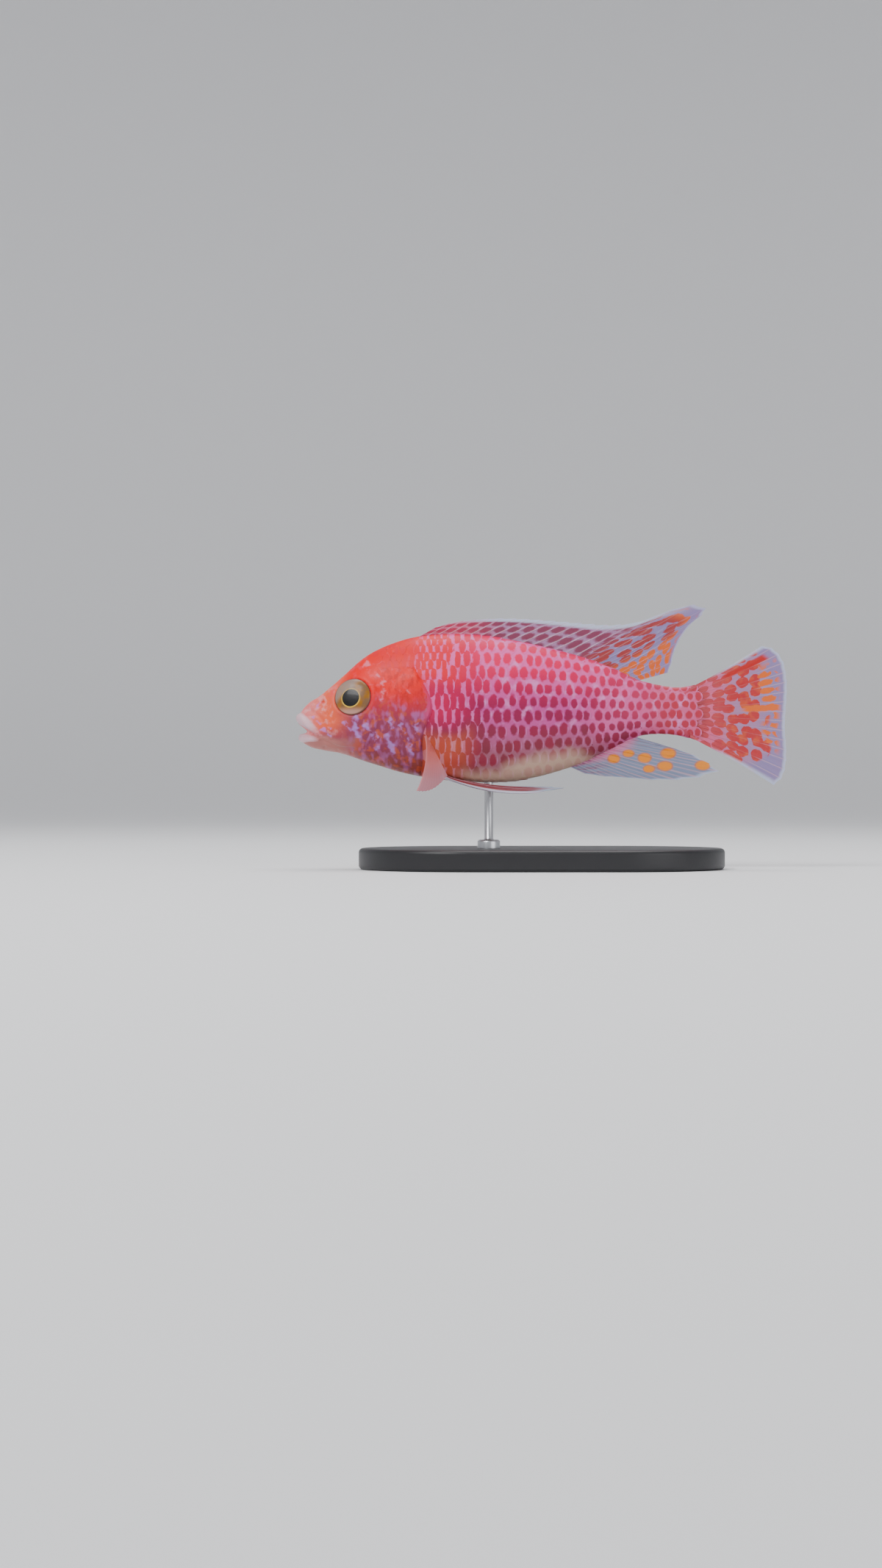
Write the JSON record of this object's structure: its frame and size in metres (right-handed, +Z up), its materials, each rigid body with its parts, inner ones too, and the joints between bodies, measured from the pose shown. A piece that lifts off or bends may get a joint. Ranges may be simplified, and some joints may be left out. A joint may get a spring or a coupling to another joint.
{
  "type": "peacock cichlid model on a display stand",
  "caption": "Life-size still model of an adult male peacock cichlid, mouth slightly open and fins spread, held level over a plain flat stand by a short rod.",
  "frame": {"origin": "on the floor, at the middle of the object's length and width, under the stand's base", "axes": "+Z up; +X from head to tail; the fish's left side faces -Y and its right side +Y"},
  "size_m": [0.1399, 0.062, 0.0753],
  "materials": {
    "skin": "satin wet-looking scales, crimson spots with pink and lilac rims, orange-red nape, cream belly",
    "fins": "thin rayed fins, lilac grey with orange-red spots and pale edges",
    "eye": "clear glossy eye, gold iris and black pupil",
    "stand": "plain satin black",
    "rod": "brushed"
  },
  "bodies": {
    "root": {"head": "skin", "jaw_lower": "skin", "gill_cover_left": "skin", "gill_cover_right": "skin", "trunk": "skin", "tail_stalk": "skin", "eye_left": "eye", "eye_right": "eye", "dorsal_fin": "fins", "anal_fin": "fins", "caudal_fin": "fins", "pectoral_fin_left": "fins", "pectoral_fin_right": "fins", "pelvic_fin_left": "fins", "pelvic_fin_right": "fins", "stand_base": "stand", "stand_rod": "rod"}
  },
  "joints": []
}
